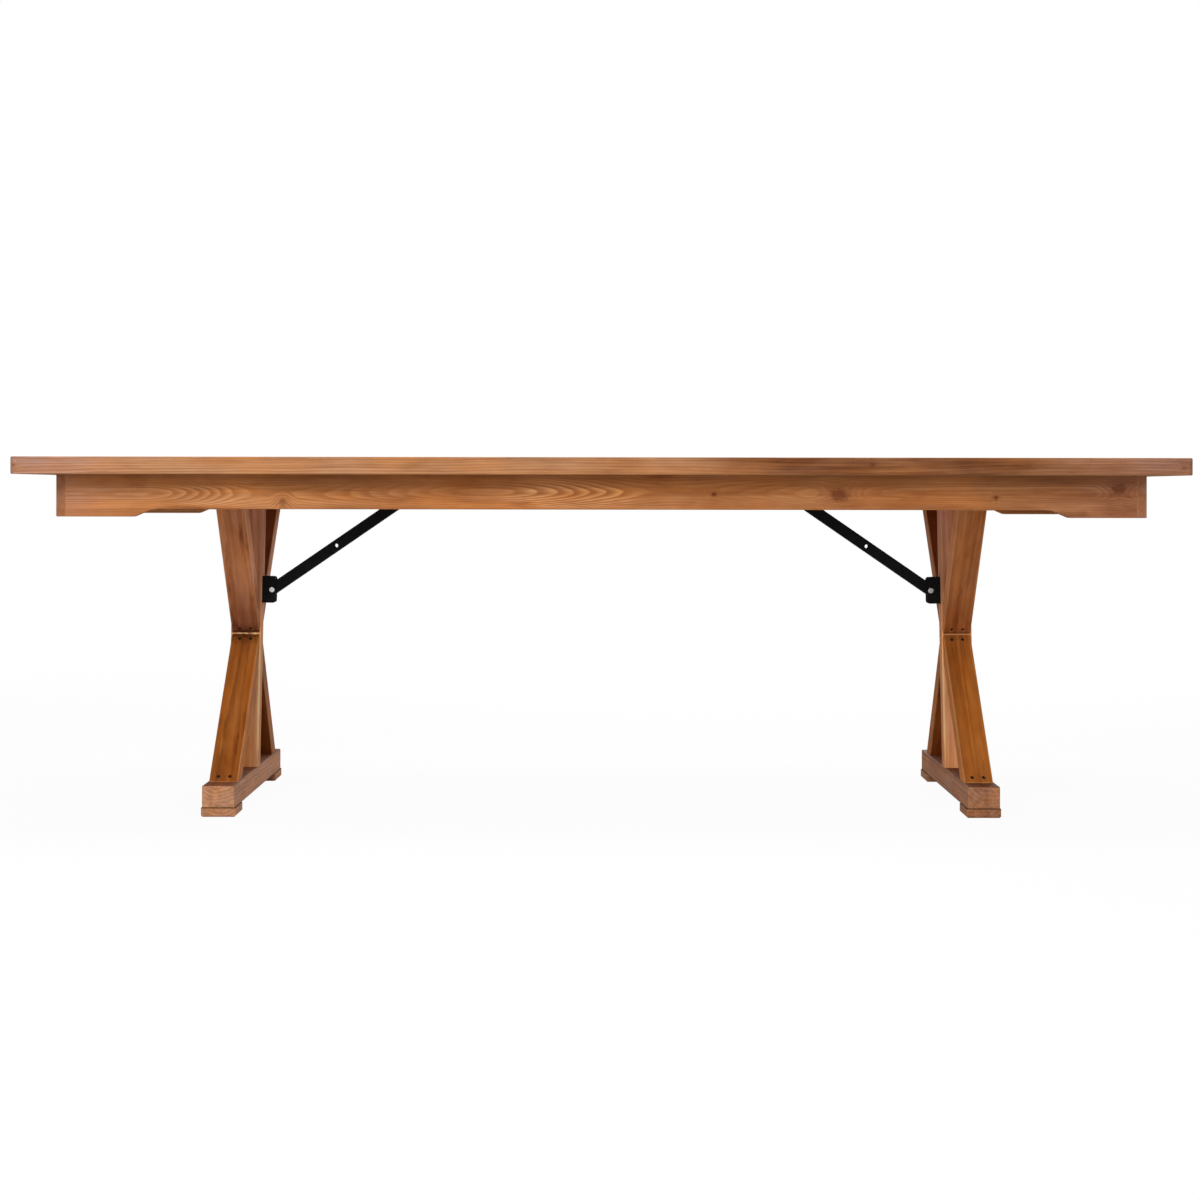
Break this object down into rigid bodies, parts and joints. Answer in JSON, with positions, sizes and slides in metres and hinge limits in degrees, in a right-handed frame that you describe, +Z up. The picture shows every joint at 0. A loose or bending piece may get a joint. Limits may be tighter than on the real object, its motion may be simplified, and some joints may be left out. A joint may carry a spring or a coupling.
{
  "type": "sawbuck folding table",
  "caption": "Long rustic plank-top table on crossed sawbuck leg frames that fold flat under the apron, each held open by a black steel brace.",
  "frame": {"origin": "on the floor under the middle of the top", "axes": "+X along the length of the top, +Y to the back, +Z up"},
  "size_m": [2.446, 1.016, 0.762],
  "materials": {
    "top_wood": "stained pine, satin clear coat",
    "apron_wood": "stained pine, satin clear coat",
    "leg_wood": "stained pine, satin clear coat",
    "batten_wood": "stained pine, matt",
    "black_steel": "black powder coat",
    "dark_screws": "black phosphate",
    "zinc_steel": "bright zinc plate"
  },
  "bodies": {
    "tabletop": {"plank_1": "top_wood", "plank_2": "top_wood", "plank_3": "top_wood", "plank_4": "top_wood", "plank_5": "top_wood", "plank_6": "top_wood", "plank_7": "top_wood", "apron_front": "apron_wood", "apron_rear": "apron_wood", "apron_left_end": "apron_wood", "apron_right_end": "apron_wood", "apron_end_screws": "dark_screws", "corner_blocks": "batten_wood", "left_hinge_batten": "batten_wood", "right_hinge_batten": "batten_wood", "centre_batten": "batten_wood", "batten_screws": "dark_screws", "left_top_bracket": "black_steel", "right_top_bracket": "black_steel", "top_bracket_screws": "zinc_steel", "hinge_fixed_leaves": "zinc_steel", "hinge_pins": "zinc_steel", "hinge_fixed_screws": "zinc_steel"},
    "left_leg": {"left_foot_rail": "leg_wood", "left_foot_pads": "leg_wood", "left_post": "leg_wood", "left_front_lower_arm": "leg_wood", "left_front_upper_arm": "leg_wood", "left_rear_lower_arm": "leg_wood", "left_rear_upper_arm": "leg_wood", "left_top_rail": "leg_wood", "left_frame_screws": "dark_screws", "left_hinge_leaves": "zinc_steel", "left_hinge_screws": "zinc_steel", "left_post_bracket": "black_steel", "left_post_bracket_screws": "zinc_steel", "left_pivot_bolt": "zinc_steel", "left_pivot_nut": "zinc_steel"},
    "left_brace": {"left_brace_tube": "black_steel", "left_cross_bolt": "zinc_steel"},
    "left_wing": {"left_wing_nut": "zinc_steel"},
    "right_leg": {"right_foot_rail": "leg_wood", "right_foot_pads": "leg_wood", "right_post": "leg_wood", "right_front_lower_arm": "leg_wood", "right_front_upper_arm": "leg_wood", "right_rear_lower_arm": "leg_wood", "right_rear_upper_arm": "leg_wood", "right_top_rail": "leg_wood", "right_frame_screws": "dark_screws", "right_hinge_leaves": "zinc_steel", "right_hinge_screws": "zinc_steel", "right_post_bracket": "black_steel", "right_post_bracket_screws": "zinc_steel", "right_pivot_bolt": "zinc_steel", "right_pivot_nut": "zinc_steel"},
    "right_brace": {"right_brace_tube": "black_steel", "right_cross_bolt": "zinc_steel"},
    "right_wing": {"right_wing_nut": "zinc_steel"}
  },
  "joints": [
    {"name": "left_leg_fold", "type": "hinge", "parent": "tabletop", "child": "left_leg", "pos_m": [-0.75787, 0, 0.6936], "axis": [0, -1, 0], "range_deg": [0, 91.2]},
    {"name": "left_brace_swing", "type": "hinge", "parent": "left_leg", "child": "left_brace", "pos_m": [-0.74626, 0, 0.46782], "axis": [0, -1, 0], "range_deg": [-126, 0]},
    {"name": "left_wing_nut_turn", "type": "hinge", "parent": "left_brace", "child": "left_wing", "pos_m": [-0.40259, 0.02, 0.704], "axis": [0, 1, 0], "continuous": true},
    {"name": "right_leg_fold", "type": "hinge", "parent": "tabletop", "child": "right_leg", "pos_m": [0.75787, 0, 0.6936], "axis": [0, 1, 0], "range_deg": [0, 91.2]},
    {"name": "right_brace_swing", "type": "hinge", "parent": "right_leg", "child": "right_brace", "pos_m": [0.74626, 0, 0.46782], "axis": [0, 1, 0], "range_deg": [-126, 0]},
    {"name": "right_wing_nut_turn", "type": "hinge", "parent": "right_brace", "child": "right_wing", "pos_m": [0.40259, 0.02, 0.704], "axis": [0, 1, 0], "continuous": true}
  ],
  "couplings": [
    {"joint": "left_brace_swing", "follows": "left_leg_fold", "ratio": -1.3783},
    {"joint": "right_brace_swing", "follows": "right_leg_fold", "ratio": -1.3783}
  ]
}
